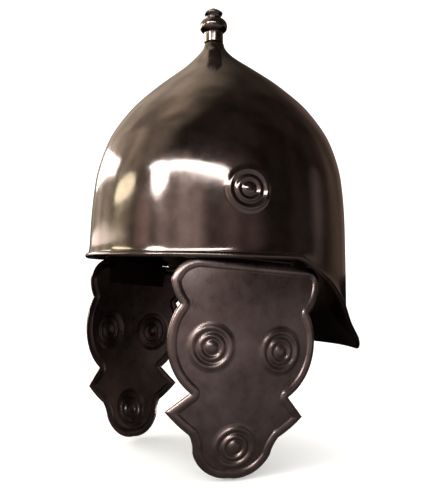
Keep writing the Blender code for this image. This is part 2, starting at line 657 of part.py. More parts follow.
def leaf_plate(grid, kept_cells):
    """A bent plate of the hinge leaf's thickness over the kept cells of a grid of points on
    its middle surface, with walls along every open edge."""
    across = np.gradient(grid, axis=0)
    down = np.gradient(grid, axis=1)
    normal = unit(np.cross(across, down))
    faces = []
    columns, rows = grid.shape[:2]
    number = np.arange(columns * rows).reshape(columns, rows)
    count = columns * rows
    edges = {}
    for i, j in kept_cells:
        corner = [number[i, j], number[i + 1, j], number[i + 1, j + 1], number[i, j + 1]]
        faces.append(tuple(corner))
        faces.append(tuple(index + count for index in reversed(corner)))
        for k in range(4):
            a, b = corner[k], corner[(k + 1) % 4]
            if (b, a) in edges:
                del edges[(b, a)]
            else:
                edges[(a, b)] = True
    faces += [(a + count, b + count, b, a) for a, b in edges]
    flat = grid.reshape(-1, 3)
    offsets = HINGE_LEAF / 2 * normal.reshape(-1, 3)
    points = np.concatenate([flat + offsets, flat - offsets])
    used = sorted({int(index) for face in faces for index in face})
    renumber = {index: place for place, index in enumerate(used)}
    return points[used], [tuple(renumber[int(index)] for index in face) for face in faces]


def joined(leaf, knuckles):
    """The knuckles fused to their leaf."""
    knuckles.hide_render = True
    knuckles.display_type = "WIRE"
    union = leaf.modifiers.new("knuckles", "BOOLEAN")
    union.operation = "UNION"
    union.solver = "EXACT"
    union.object = knuckles
    return leaf


def make_guard(name, mirror, on_axis, pivot):
    """One cheek guard. Both faces of its sheet share one set of loops, and a wall joins their
    edges."""
    outline = guard_outline()
    bosses = GUARD_BOSSES * (GUARD_HALF_WIDTH, GUARD_LENGTH)
    crest, foot = (inset_loop(outline, inset) for inset in (GUARD_BORDER_CREST, GUARD_BORDER_FOOT))
    rings = [loop for centre in bosses for loop in boss_points(centre, GUARD_BOSS_RADIUS, GUARD_BOSS_SIDES)]
    flat, triangles, edge = fill_sheet(outline, [crest, foot, *rings, *field_points(foot, bosses)])
    relief = border_relief(flat, outline)
    for centre in bosses:
        relief = np.maximum(relief, boss_relief(flat, centre, GUARD_BOSS_RADIUS))
    front = on_guard(flat[:, 0], flat[:, 1], relief + SHEET / 2)
    back = on_guard(flat[:, 0], flat[:, 1], relief - SHEET / 2)
    count = len(flat)
    faces = [tuple(face) for face in triangles] + [tuple(face[::-1] + count) for face in triangles]
    faces += [(a, b, b + count, a + count) for a, b in zip(edge, edge[1:] + edge[:1])]
    return solid(name, np.concatenate([front, back]) * mirror, faces, GUARD_STEEL, on_axis, pivot)


def hinge_leaf(name, lower_rows, tab_columns, spans, axis, mirror, origin, parent):
    """One leaf of a hinge: a plate that starts in the walls of its knuckles, where only the tab
    columns reach them, and goes on through the lower rows of points."""
    middle, along = axis[:2]
    line = middle + HINGE_COLUMNS[:, None] * along
    towards = unit(lower_rows[0] - line)
    bore = PIN_RADIUS + GAP
    in_knuckle = line + (KNUCKLE_RADIUS + bore) / 2 * towards
    clear_of_knuckle = line + (KNUCKLE_RADIUS + 2 * GAP) * towards
    grid = np.stack([in_knuckle, clear_of_knuckle, *lower_rows], axis=1)
    cells = [(i, j) for i in range(len(HINGE_COLUMNS) - 1) for j in (1, 2)] + [(i, 0) for i in tab_columns]
    plate_points, plate_faces = leaf_plate(grid, cells)
    plate = solid(name, plate_points * mirror, plate_faces, HINGE_STEEL, origin, parent)
    rings, ring_faces = tube(spans, *axis, KNUCKLE_RADIUS, bore)
    knuckles = solid(f"{name}_knuckles", np.array(rings) * mirror, ring_faces, HINGE_STEEL, origin, parent)
    return joined(plate, knuckles)


def rows_inside_bowl(axis):
    """The rows of points of the bowl's leaf: just inside the wall, at two heights over the axis."""
    middle, along = axis[:2]
    rows = []
    for above in (HINGE_LEAF_BEND, HINGE_LEAF_HEIGHT):
        row = []
        for place in middle + HINGE_COLUMNS[:, None] * along:
            level = place[2] + above
            azimuth = np.interp(0.0, (wall(HINGE_REACH, level) - place) @ along, HINGE_REACH)
            row.append(wall(azimuth, level) - (SHEET + LEAF_MIDDLE_OFF_SHEET) * wall_normal(azimuth, level))
        rows.append(np.array(row))
    return rows


def make_side(side, sign):
    """One cheek guard with its hinge. The left side is worked out, and the right one is its
    mirror image. The guard and its leaf hang from an empty on the hinge's axis."""
    mirror = np.array([sign, 1.0, 1.0])
    axis = hinge_line()
    on_axis = axis[0] * mirror
    pivot = bpy.data.objects.new(f"{side}_hinge_axis", None)
    pivot.location = on_axis
    pivot.hide_render = True
    bpy.context.collection.objects.link(pivot)
    bpy.context.view_layer.update()
    make_guard(f"cheek_guard_{side}", mirror, on_axis, pivot)

    # The guard's leaf has the middle knuckle, and the bowl's leaf the two outer ones.
    end, inner_end = HINGE_WIDTH / 2, HINGE_MIDDLE_WIDTH / 2
    behind = -SHEET / 2 - LEAF_MIDDLE_OFF_SHEET
    guard_rows = [on_guard(HINGE_COLUMNS, np.full(len(HINGE_COLUMNS), down), behind)
                  for down in (HINGE_LEAF_BEND, HINGE_LEAF_HEIGHT)]
    hinge_leaf(f"hinge_cheek_leaf_{side}", guard_rows, [2], [(-inner_end, inner_end)], axis, mirror, on_axis,
               pivot)
    outer_spans = [(-end, -inner_end - GAP), (inner_end + GAP, end)]
    hinge_leaf(f"hinge_bowl_leaf_{side}", rows_inside_bowl(axis), [0, 4], outer_spans, axis, mirror,
               (0.0, 0.0, 0.0), None)
    pin_points, pin_faces = tube([(-end - PIN_PAST_END, end + PIN_PAST_END)], *axis, PIN_RADIUS, 0.0)
    solid(f"hinge_pin_{side}", np.array(pin_points) * mirror, pin_faces, HINGE_STEEL)


make_bowl()
make_finial()
make_side("left", 1.0)
make_side("right", -1.0)
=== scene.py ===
"""The looks of a polished steel legionary helmet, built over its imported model.

Metres, +Z up. The wearer faces -Y and the wearer's left is +X. The origin is the middle of the
head opening, just below the rim at the sides.
"""

import bmesh
import bpy
import numpy as np
from mathutils import Matrix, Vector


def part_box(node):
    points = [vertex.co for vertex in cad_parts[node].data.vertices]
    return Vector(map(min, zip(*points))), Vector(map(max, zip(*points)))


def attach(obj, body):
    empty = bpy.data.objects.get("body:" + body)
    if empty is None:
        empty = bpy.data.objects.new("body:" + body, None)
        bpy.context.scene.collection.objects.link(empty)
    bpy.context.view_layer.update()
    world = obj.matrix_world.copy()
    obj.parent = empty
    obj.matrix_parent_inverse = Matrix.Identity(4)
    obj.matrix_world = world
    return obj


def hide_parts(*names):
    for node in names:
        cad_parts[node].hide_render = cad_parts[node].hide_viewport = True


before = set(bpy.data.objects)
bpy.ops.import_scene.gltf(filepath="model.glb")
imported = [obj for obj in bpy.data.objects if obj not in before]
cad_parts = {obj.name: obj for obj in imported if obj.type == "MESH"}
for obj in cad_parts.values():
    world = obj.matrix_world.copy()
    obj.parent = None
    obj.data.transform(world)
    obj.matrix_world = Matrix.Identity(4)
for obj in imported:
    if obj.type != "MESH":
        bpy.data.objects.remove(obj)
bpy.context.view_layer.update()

# The bowl. One sheet of steel, raised into an onion-topped dome, planished and buffed until it
# mirrors, then darkened. The rim is rolled into a bead that runs on round the flared neck
# guard, and a ringed boss is punched out over each cheek guard's hinge.
SHEET = 0.0012
BOWL_HALF_WIDTH = 0.1038
BOWL_HALF_LENGTH = 0.1122
BOWL_HEIGHT = 0.1908
BOWL_SECTIONS = np.array([
    # height, radius, back, round
    (0.000, 1.000, -0.004, 0.0),
    (0.180, 0.990, 0.004, 0.0),
    (0.360, 0.961, 0.011, 0.0),
    (0.520, 0.880, 0.016, 0.0),
    (0.660, 0.728, 0.016, 0.1),
    (0.780, 0.511, 0.011, 0.3),
    (0.870, 0.300, -0.002, 0.6),
    (0.900, 0.228, -0.016, 0.8),
    (0.930, 0.163, -0.028, 1.0),
    (0.960, 0.111, -0.031, 1.0),
    (0.985, 0.084, -0.031, 1.0),
    (1.000, 0.080, -0.031, 1.0),
])
SIDE_RIM_HEIGHT = 0.0032
RIM_RISE = 0.0032
BEAD_RADIUS = 0.0022
BEAD_OUTSET = 0.0010
NECK_GUARD_DEPTH = 0.075
NECK_GUARD_FLARE = 0.0108
NECK_GUARD_CORNER = 151.0
NECK_GUARD_EDGE = np.array([
    # azimuth, drop
    (0.0, 0.000),
    (89.0, 0.000),
    (92.4, 0.018),
    (96.0, 0.060),
    (100.0, 0.116),
    (104.0, 0.175),
    (109.0, 0.243),
    (116.0, 0.363),
    (125.0, 0.533),
    (138.0, 0.768),
    (NECK_GUARD_CORNER, 0.995),
    (180.0, 1.000),
])
NECK_GUARD_SECTION = np.array([
    # depth, out
    (0.00, 0.00),
    (0.50, 0.02),
    (0.60, 0.04),
    (0.65, 0.08),
    (0.69, 0.14),
    (0.75, 0.29),
    (0.82, 0.52),
    (0.88, 0.75),
    (1.00, 1.00),
])
# The wall sweeps out into the bead: how far, over what length, and from how high above the
# bead's middle.
SWEEP_INTO_BEAD = 0.0009
SWEEP_LENGTH = 0.0030
SWEEP_REACH = 0.018
# The closed collar under the finial: the small step of its edge, the height where the inner
# face's rows end, and the peak of the hollow under it.
COLLAR_STEP = 0.0004
INNER_TOP = 0.933 * BOWL_HEIGHT
INNER_PEAK = 0.947 * BOWL_HEIGHT
HINGE_AZIMUTH = 69.4
BOWL_BOSS_HEIGHT = 0.053
# The section of a boss, in millimetres from its middle and above the sheet.
BOSS_SECTION = np.array([
    # radius, out
    (0.0, 2.00),
    (2.4, 1.70),
    (4.3, 0.85),
    (5.9, -0.10),
    (6.9, 1.05),
    (8.3, 1.65),
    (9.6, 0.95),
    (11.1, -0.10),
    (12.9, 1.10),
    (14.4, 1.60),
    (16.0, 0.75),
    (18.2, 0.00),
])


def unit(vectors):
    """Each vector over its own length."""
    return vectors / np.linalg.norm(vectors, axis=-1, keepdims=True)


def smooth_through(stations, values, at):
    """Cubic pieces through the values, each with the harmonic mean of the slopes beside it as
    its end slope, so that the curve never overshoots between two stations."""
    at = np.clip(at, stations[0], stations[-1])
    steps = np.diff(stations)
    slopes = np.diff(values) / steps
    same = slopes[:-1] * slopes[1:] > 0
    safe = np.where(same, slopes[:-1] + slopes[1:], 1.0)
    inner = np.where(same, 2.0 * slopes[:-1] * slopes[1:] / safe, 0.0)
    tangents = np.concatenate([slopes[:1], inner, slopes[-1:]])
    i = np.clip(np.searchsorted(stations, at, side="right") - 1, 0, len(steps) - 1)
    t = (at - stations[i]) / steps[i]
    start = values[i] * (1 + 2 * t) * (1 - t) ** 2 + tangents[i] * steps[i] * t * (1 - t) ** 2
    end = values[i + 1] * t ** 2 * (3 - 2 * t) + tangents[i + 1] * steps[i] * t ** 2 * (t - 1)
    return start + end


def planished(table, window, samples=601):
    """The table's columns at even shares of its first column, each averaged over a bell window
    that is that many samples wide, so that a mirror finish shows no kinks."""
    shares = np.linspace(0.0, 1.0, samples)
    fine = np.stack([smooth_through(table[:, 0], column, shares) for column in table.T[1:]])
    half = window // 2
    before = 2 * fine[:, :1] - fine[:, half:0:-1]
    after = 2 * fine[:, -1:] - fine[:, -2:-half - 2:-1]
    bell = np.hanning(2 * half + 3)[1:-1]
    padded = np.concatenate([before, fine, after], axis=1)
    return shares, [np.convolve(row, bell / bell.sum(), "valid") for row in padded]


SECTION_SHARES, (SECTION_RADIUS, SECTION_BACK, SECTION_ROUND) = planished(BOWL_SECTIONS, 22)
FLARE_SHARES, (FLARE_OUT,) = planished(NECK_GUARD_SECTION, 50)


def rim_height(azimuth):
    """The height of the bead's middle: a cosine rise to the front, less the neck guard's drop."""
    azimuth = np.abs((np.asarray(azimuth, float) + 180.0) % 360.0 - 180.0)
    level = SIDE_RIM_HEIGHT + RIM_RISE * np.maximum(np.cos(np.radians(azimuth)), 0.0)
    drop = smooth_through(NECK_GUARD_EDGE[:, 0], NECK_GUARD_EDGE[:, 1], azimuth)
    return level - (SIDE_RIM_HEIGHT + NECK_GUARD_DEPTH) * drop


def wall(azimuth, height):
    """The bowl's outer face: an oval whose size, set-back and roundness follow the height, and
    which is pushed out square to the oval by the flare below the origin."""
    azimuth, height = np.broadcast_arrays(np.asarray(azimuth, float), np.asarray(height, float))
    share = np.maximum(height, 0.0) / BOWL_HEIGHT
    radius, back, roundness = (np.interp(share, SECTION_SHARES, column)
                               for column in (SECTION_RADIUS, SECTION_BACK, SECTION_ROUND))
    half_length = BOWL_HALF_LENGTH + (BOWL_HALF_WIDTH - BOWL_HALF_LENGTH) * roundness
    below = np.maximum(-height, 0.0) / NECK_GUARD_DEPTH
    out = NECK_GUARD_FLARE * np.interp(below, FLARE_SHARES, FLARE_OUT)
    angle = np.radians(azimuth)
    facing = unit(np.stack([half_length * np.sin(angle), -BOWL_HALF_WIDTH * np.cos(angle)], axis=-1))
    x = BOWL_HALF_WIDTH * radius * np.sin(angle) + out * facing[..., 0]
    y = -half_length * radius * np.cos(angle) + BOWL_HALF_LENGTH * back + out * facing[..., 1]
    return np.stack([x, y, height], axis=-1)


def wall_normal(azimuth, height):
    """The cross product of a step of 1 degree round the wall and a step of 0.8 mm up it."""
    height = np.minimum(np.asarray(height, float), BOWL_HEIGHT - 0.0005)
    round_step = wall(np.add(azimuth, 0.5), height) - wall(np.subtract(azimuth, 0.5), height)
    up_step = wall(azimuth, height + 0.0004) - wall(azimuth, height - 0.0004)
    return unit(np.cross(round_step, up_step))


def boss_relief(distance):
    """How far a boss stands out at a distance from its middle, in metres."""
    return smooth_through(BOSS_SECTION[:, 0], BOSS_SECTION[:, 1], distance * 1000.0) / 1000.0


def runs(*marks):
    """Even steps between marks: (start, count), (start, count), ..., (end,)."""
    parts = [np.linspace(a[0], b[0], a[1], endpoint=False) for a, b in zip(marks[:-1], marks[1:])]
    return np.concatenate(parts + [[marks[-1][0]]])


def skin(name, rows, material, poles=(None, None)):
    """One surface through rows of points, each row a closed loop of the same count: a quad
    between each two neighbours in each two rows, and a fan to each pole that is given."""
    count, columns = rows.shape[:2]
    number = np.arange(count * columns).reshape(count, columns)
    beside = np.roll(number, -1, axis=1)
    quads = np.stack([number[:-1], beside[:-1], beside[1:], number[1:]], axis=-1).reshape(-1, 4)
    points = rows.reshape(-1, 3)
    faces = quads.tolist()
    for pole, row, turn in ((poles[0], 0, -1), (poles[1], -1, 1)):
        if pole is not None:
            fan = np.stack([number[row], beside[row], np.full(columns, len(points))], axis=-1)
            faces += fan[:, ::turn].tolist()
            points = np.concatenate([points, [pole]])
    mesh = bpy.data.meshes.new(name)
    mesh.from_pydata(points.tolist(), [], faces)
    work = bmesh.new()
    work.from_mesh(mesh)
    bmesh.ops.remove_doubles(work, verts=work.verts, dist=1e-6)
    bmesh.ops.recalc_face_normals(work, faces=work.faces)
    work.to_mesh(mesh)
    work.free()
    mesh.shade_smooth()
    mesh.materials.append(material)
    piece = bpy.data.objects.new(name, mesh)
    bpy.context.scene.collection.objects.link(piece)
    return piece


def colour(hex_value):
    """An sRGB hex colour as linear red, green, blue and alpha."""
    values = np.array([int(hex_value[i:i + 2], 16) for i in (1, 3, 5)]) / 255.0
    linear = np.where(values <= 0.04045, values / 12.92, ((values + 0.055) / 1.055) ** 2.4)
    return (*linear.tolist(), 1.0)


def node(tree, kind, settings, links=()):
    """A new node. A setting or link is for the input of that name or number, or else the
    setting is for the node itself."""
    made = tree.nodes.new(kind)
    for name, value in settings.items():
        if isinstance(name, int) or name in made.inputs:
            made.inputs[name].default_value = value
        else:
            setattr(made, name, value)
    for name, output in dict(links).items():
        tree.links.new(output, made.inputs[name])
    return made


def stops(ramp, places):
    """Gives a colour ramp its stops, from (place, hex colour) pairs."""
    band = ramp.color_ramp
    while len(band.elements) < len(places):
        band.elements.new(0.5)
    for element, (place, value) in zip(band.elements, places):
        element.position = place
        element.color = colour(value)
    return ramp


def antiqued_steel(name, dark, middle, light, roughness, polish_wave):
    """Steel that was buffed, blackened and rubbed back: metal with patches of thicker and
    thinner black over 60 mm, small blotches over 9 mm, buffing waves over 22 mm that bend the
    reflections, and a grain of fine scratches 6 mm long (real ones are 0.05 mm wide, drawn
    0.4 mm wide to show)."""
    material = bpy.data.materials.new(name)
    material.use_nodes = True
    tree = material.node_tree
    shader = tree.nodes["Principled BSDF"]
    shader.inputs["Metallic"].default_value = 1.0
    place = node(tree, "ShaderNodeTexCoord", {}).outputs["Object"]
    patches = node(tree, "ShaderNodeTexNoise", {"Scale": 17.0, "Detail": 3.0, "Roughness": 0.55},
                   {"Vector": place})
    blotches = node(tree, "ShaderNodeTexNoise", {"Scale": 110.0, "Detail": 4.0, "Roughness": 0.6},
                    {"Vector": place})
    depth = node(tree, "ShaderNodeMix", {"data_type": "FLOAT", 0: 0.35},
                 {2: patches.outputs["Fac"], 3: blotches.outputs["Fac"]})
    tone = node(tree, "ShaderNodeValToRGB", {}, {0: depth.outputs[0]})
    stops(tone, [(0.30, dark), (0.50, middle), (0.70, light)])
    tree.links.new(tone.outputs["Color"], shader.inputs["Base Color"])
    stretched = node(tree, "ShaderNodeMapping", {"Scale": (2400.0, 2400.0, 160.0)}, {"Vector": place})
    scratches = node(tree, "ShaderNodeTexNoise", {"Scale": 1.0, "Detail": 2.0},
                     {"Vector": stretched.outputs["Vector"]})
    gloss = node(tree, "ShaderNodeMix", {"data_type": "FLOAT", 0: 0.4},
                 {2: blotches.outputs["Fac"], 3: scratches.outputs["Fac"]})
    rough = node(tree, "ShaderNodeMapRange", {1: 0.3, 2: 0.7, 3: roughness[0], 4: roughness[1]},
                 {0: gloss.outputs[0]})
    tree.links.new(rough.outputs[0], shader.inputs["Roughness"])
    waves = node(tree, "ShaderNodeTexNoise", {"Scale": 45.0, "Detail": 1.0}, {"Vector": place})
    wavy = node(tree, "ShaderNodeBump", {"Strength": 1.0, "Distance": polish_wave},
                {"Height": waves.outputs["Fac"]})
    grain = node(tree, "ShaderNodeBump", {"Strength": 0.25, "Distance": 0.00001},
                 {"Height": scratches.outputs["Fac"], "Normal": wavy.outputs["Normal"]})
    tree.links.new(grain.outputs["Normal"], shader.inputs["Normal"])
    return material


# The mirror polish of the bowl shows the room softly, with a brown cast in the black.
bowl_steel = antiqued_steel("antiqued_polished_steel", "#5b5350", "#6f6764", "#7f7774",
                            (0.08, 0.16), 0.00012)

# The columns are closest round the bosses. The rows follow the rim near the bead, grow level
# towards the foot of the bosses, and are closest again over the bosses' height.
azimuths = runs((-58.4, 94), (58.4, 44), (80.4, 56), (NECK_GUARD_CORNER, 45),
                (360.0 - NECK_GUARD_CORNER, 56), (279.6, 44), (301.6,))[:-1]
rim = rim_height(azimuths)
near_bead = runs((0.0023, 14), (0.0085,))
LEVEL_FROM = 0.024
level_shares = runs((0.0, 26), (1.0,))[1:]
heights = [rim + above for above in near_bead]
heights += [rim + near_bead[-1] + share * (LEVEL_FROM - rim - near_bead[-1]) for share in level_shares]
heights += [np.full(len(azimuths), level) for level in
            runs((0.0275, 3), (0.034, 46), (0.073, 38), (0.158, 36), (BOWL_HEIGHT,))]
heights = np.array(heights)


def bowl_face(rows, inwards):
    """The wall moved along its normal: out by the bosses and by the sweep into the bead, and in
    by the thickness of the sheet for the inner face."""
    turn = np.broadcast_to(azimuths, rows.shape)
    flat, normal = wall(turn, rows), wall_normal(turn, rows)
    above = rows - rim
    moved = SWEEP_INTO_BEAD * np.exp(-(above - near_bead[0]) / SWEEP_LENGTH) * (above < SWEEP_REACH)
    if inwards:
        moved = np.full(rows.shape, -SHEET)
    for side in (HINGE_AZIMUTH, -HINGE_AZIMUTH):
        middle = wall(side, BOWL_BOSS_HEIGHT)
        moved = moved + boss_relief(np.linalg.norm(flat - middle, axis=-1))
    return flat + moved[..., None] * normal


# The bead is part of a circle round a line just outside the wall, square to the rim. It starts
# a little inside the wall's outer face, so that no gap opens between them.
BEAD_OVERLAP = 0.12
BEAD_STEPS = 15
rim_line = wall(azimuths, rim)
along = unit(np.roll(rim_line, -1, axis=0) - np.roll(rim_line, 1, axis=0))
out = wall_normal(azimuths, rim)
out = unit(out - along * np.sum(out * along, axis=-1, keepdims=True))
down = np.cross(out, along)
down *= np.sign(-down[:, 2:3])
start_turn = np.arccos(-BEAD_OUTSET / BEAD_RADIUS) - BEAD_OVERLAP
turns = np.linspace(start_turn, -np.pi, BEAD_STEPS)[:, None, None]
bead = rim_line + BEAD_OUTSET * out + BEAD_RADIUS * (np.cos(turns) * out - np.sin(turns) * down)
outer = bowl_face(heights, False)
inner_rows = heights[::2][heights[::2].mean(axis=1) < INNER_TOP]
inner = bowl_face(inner_rows, True)
collar_middle = outer[-1].mean(axis=0)
collar_edge = outer[-1] + COLLAR_STEP * unit(collar_middle - outer[-1])
collar_edge[:, 2] = BOWL_HEIGHT
outer[-1, :, 2] -= COLLAR_STEP
bowl = skin("bowl_sheet", np.concatenate([collar_edge[None], outer[::-1], bead, inner]), bowl_steel,
            (collar_middle * (1, 1, 0) + (0, 0, BOWL_HEIGHT),
             collar_middle * (1, 1, 0) + (0, 0, INNER_PEAK)))
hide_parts("bowl")
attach(bowl, "bowl")

# The finial. A steel knob turned on a lathe, with a ball, a small button and a straight neck
# that stands on the bowl's collar. Its tang goes down into the collar, out of sight.
FINIAL_HEIGHT = 0.031
FINIAL_RADIUS = 0.0120
FINIAL_ABOVE_COLLAR = 0.0003
FINIAL_ROWS = 110
FINIAL_SECTION = np.array([
    # height, radius
    (0.010, 0.640),
    (0.024, 0.690),
    (0.100, 0.688),
    (0.200, 0.688),
    (0.285, 0.692),
    (0.300, 0.740),
    (0.345, 0.880),
    (0.410, 0.980),
    (0.486, 1.000),
    (0.565, 0.950),
    (0.635, 0.820),
    (0.700, 0.600),
    (0.725, 0.530),
    (0.765, 0.560),
    (0.815, 0.650),
    (0.848, 0.670),
    (0.890, 0.570),
    (0.945, 0.340),
    (0.985, 0.140),
])
steps = np.linalg.norm(np.diff(FINIAL_SECTION * (FINIAL_HEIGHT, FINIAL_RADIUS), axis=0), axis=1)
run = np.concatenate([[0.0], np.cumsum(steps)])
places = np.linspace(0.0, run[-1], FINIAL_ROWS)
finial_height = FINIAL_HEIGHT * smooth_through(run, FINIAL_SECTION[:, 0], places)
finial_radius = FINIAL_RADIUS * smooth_through(run, FINIAL_SECTION[:, 1], places)
finial_turn = np.radians(np.arange(0.0, 360.0, 3.75))
foot = collar_middle * (1, 1, 0) + (0, 0, BOWL_HEIGHT + FINIAL_ABOVE_COLLAR)
finial_rows = np.stack([finial_radius[:, None] * np.cos(finial_turn),
                        finial_radius[:, None] * np.sin(finial_turn),
                        finial_height[:, None] + 0.0 * finial_turn], axis=-1) + foot
finial = skin("finial_knob", finial_rows, bowl_steel, (foot, foot + (0, 0, FINIAL_HEIGHT)))
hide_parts("finial")
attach(finial, "bowl")

# The cheek guards. Each is cut from the same sheet, with a half-round border and three ringed
# bosses chased from behind, so that the back shows them sunk. It is bent round the cheek and
# finished with a softer polish than the bowl.
GUARD_HALF_WIDTH = 0.0600
GUARD_LENGTH = 0.1596
GUARD_TOP_FRONT = 0.0387
GUARD_TOP_REAR = 0.0517
FRONT_CORNER_BULGE = 0.33
REAR_CORNER_BULGE = 0.42
# Half of the edge below the shoulder: across as a share of the half width, down as a share of
# the length, the bulge of the arc that leads to the next row, and how many steps that arc takes.
# The shoulders are rows of the same kind.
GUARD_OUTLINE = [
    # across, down, bulge, steps
    (0.865, 0.217, 0.41, 80),
    (0.644, 0.609, 0.00, 22),
    (0.914, 0.705, 0.05, 24),
    (0.586, 0.801, -0.14, 16),
    (0.507, 0.883, 0.34, 46),
    (0.000, 1.000, 0.00, 0),
]
FRONT_SHOULDER = (0.988, 0.114, 0.16, 24)
REAR_SHOULDER = (1.032, 0.083, 0.20, 24)
GUARD_BOSSES = ((-0.448, 0.395), (0.448, 0.395), (0.000, 0.846))
# The middle line that the ruled lines run to, down from the top, and how a line's end on it
# follows the steps along the edge. The rest of the end's fall follows the fall of the edge.
MIDDLE_TOP = 0.024
MIDDLE_END = GUARD_BOSSES[2][1] * GUARD_LENGTH
FALL_BY_STEPS = 0.35
# The section of the border, in millimetres from the edge and above the sheet. A groove is
# chased along its foot.
BORDER_SECTION = np.array([
    # distance, out
    (0.0, 0.00),
    (0.9, 0.90),
    (2.2, 1.50),
    (3.7, 1.75),
    (5.2, 1.45),
    (6.5, 0.75),
    (7.3, -0.10),
    (7.9, -0.22),
    (8.7, -0.06),
    (9.6, 0.00),
])
GUARD_SET_IN = 0.0087
GUARD_BELOW_RIM = 0.0047
GUARD_TURN = -5.1
GUARD_LEAN = -4.0
GUARD_CANT = 5.7
GUARD_SET_BACK = 0.0052
GUARD_BEND_RADIUS = 0.187
GUARD_SWELL = 0.0088


def arc(start, end, bulge, count):
    """Even points from start up to, but not with, end, on the arc whose rise over half its
    chord is the bulge, positive where it swells outwards."""
    start, end = np.asarray(start, float), np.asarray(end, float)
    chord = end - start
    share = np.arange(count)[:, None] / count
    if bulge == 0.0:
        return start + share * chord
    sweep = 4 * np.arctan(bulge)
    radius = np.linalg.norm(chord) / (2 * np.sin(sweep / 2))
    side = np.array([chord[1], -chord[0]]) / np.linalg.norm(chord)
    centre = (start + end) / 2 - side * radius * np.cos(sweep / 2)
    turn, arm = sweep * share[:, 0], start - centre
    return centre + np.stack([arm[0] * np.cos(turn) - arm[1] * np.sin(turn),
                              arm[0] * np.sin(turn) + arm[1] * np.cos(turn)], axis=-1)


def half_edge(top, corner_bulge, shoulder):
    """One side of the guard's edge, from the top middle down to the tip, both with."""
    size = np.array([GUARD_HALF_WIDTH, GUARD_LENGTH])
    corners = [((0.0, 0.0), 0.0, 46), ((top, 0.0), corner_bulge, 26)]
    corners += [(tuple(size * row[:2]), row[2], row[3]) for row in (shoulder, *GUARD_OUTLINE)]
    arcs = [arc(a[0], b[0], a[1], a[2]) for a, b in zip(corners[:-1], corners[1:])]
    return np.concatenate(arcs + [[corners[-1][0]]])


def edge_distance(flat, edge):
    """The distance from flat points to the nearest of the edge's segments."""
    run = np.roll(edge, -1, axis=0) - edge
    offset = flat[:, None, :] - edge[None, :, :]
    share = np.clip(np.sum(offset * run, axis=-1) / np.sum(run * run, axis=-1), 0.0, 1.0)
    return np.linalg.norm(offset - share[..., None] * run, axis=-1).min(axis=1)


def on_guard(flat, proud):
    """A place on the left guard from across and down its sheet, and proud of the sheet's
    middle: canted in its own plane, bent round an upright line, swelled out by a parabola that
    is highest half way down, and leaned."""
    level = float(rim_height(HINGE_AZIMUTH))
    facing_out = wall_normal(HINGE_AZIMUTH, level)
    facing = np.arctan2(-facing_out[1], facing_out[0]) + np.radians(GUARD_TURN)
    outwards = np.array([np.cos(facing), -np.sin(facing), 0.0])
    rearwards = np.array([np.sin(facing), np.cos(facing), 0.0])
    top = wall(HINGE_AZIMUTH, level) - GUARD_SET_IN * unit(facing_out * (1, 1, 0))
    top = top - (0, 0, GUARD_BELOW_RIM)
    cant, lean = np.radians(GUARD_CANT), np.radians(GUARD_LEAN)
    u = GUARD_SET_BACK + flat[..., 0] * np.cos(cant) - flat[..., 1] * np.sin(cant)
    v = flat[..., 0] * np.sin(cant) + flat[..., 1] * np.cos(cant)
    along_bend = (GUARD_BEND_RADIUS + proud) * np.sin(u / GUARD_BEND_RADIUS)
    in_out = (GUARD_BEND_RADIUS + proud) * np.cos(u / GUARD_BEND_RADIUS) - GUARD_BEND_RADIUS
    in_out = in_out + GUARD_SWELL * (1 - (2 * v / GUARD_LENGTH - 1) ** 2)
    shift_out = in_out * np.cos(lean) + v * np.sin(lean)
    fall = v * np.cos(lean) - in_out * np.sin(lean)
    level_place = top + along_bend[..., None] * rearwards + shift_out[..., None] * outwards
    return level_place - fall[..., None] * (0, 0, 1)


def guard_rows():
    """Rings of the guard's sheet, each with the point of every ruled line from the edge to a
    middle line at one distance from the edge, and then at even shares of what is left."""
    rear = half_edge(GUARD_TOP_REAR, REAR_CORNER_BULGE, REAR_SHOULDER)
    front = half_edge(GUARD_TOP_FRONT, FRONT_CORNER_BULGE, FRONT_SHOULDER) * (-1, 1)
    edge = np.concatenate([rear[:-1], front[:0:-1]])
    half_count = len(rear) - 1
    step = np.minimum(np.arange(len(edge)), len(edge) - np.arange(len(edge)))
    fallen = FALL_BY_STEPS * step / half_count + (1 - FALL_BY_STEPS) * rear[step, 1] / GUARD_LENGTH
    spine = np.stack([0.0 * fallen, MIDDLE_TOP + (MIDDLE_END - MIDDLE_TOP) * fallen], axis=-1)
    length = np.linalg.norm(spine - edge, axis=1, keepdims=True)
    # The distance from the edge at even steps along the first 19 mm of each ruled line.
    reach = np.linspace(0.0, 0.019, 77)
    inset = [edge_distance(edge + r / length * (spine - edge), edge) for r in reach]
    inset = np.maximum.accumulate(np.array(inset) + 1e-9 * np.arange(len(reach))[:, None], axis=0)
    rings = (0.0, 0.00007, *runs((0.00025, 26), (0.0098,)))
    at = np.array([[np.interp(distance, column, reach) for column in inset.T] for distance in rings])
    ruled = (spine - edge) / length
    border = edge + at[..., None] * ruled
    inwards = np.linspace(0.0, 1.0, 46)[1:, None, None]
    field = border[-1] + inwards * (spine - border[-1])
    return edge, border, field


edge, border, field = guard_rows()
sheet = np.concatenate([border[2:], field])
from_edge = np.array([edge_distance(row, edge) for row in sheet]) * 1000.0
relief = smooth_through(BORDER_SECTION[:, 0], BORDER_SECTION[:, 1], from_edge) / 1000.0
for across, fallen in GUARD_BOSSES:
    centre = np.array([across * GUARD_HALF_WIDTH, fallen * GUARD_LENGTH])
    relief = np.maximum(relief, boss_relief(np.linalg.norm(sheet - centre, axis=-1)))
half_sheet = SHEET / 2
# The cut edge is rounded: the ring and the share of the half sheet of each of its four rows.
rounded = [on_guard(border[ring], np.full(len(edge), share * half_sheet))[None]
           for ring, share in ((1, 0.70), (0, 0.25), (0, -0.25), (1, -0.70))]
guard_surface = np.concatenate([on_guard(sheet, relief + half_sheet)[::-1], *rounded,
                                on_guard(sheet, relief - half_sheet)])
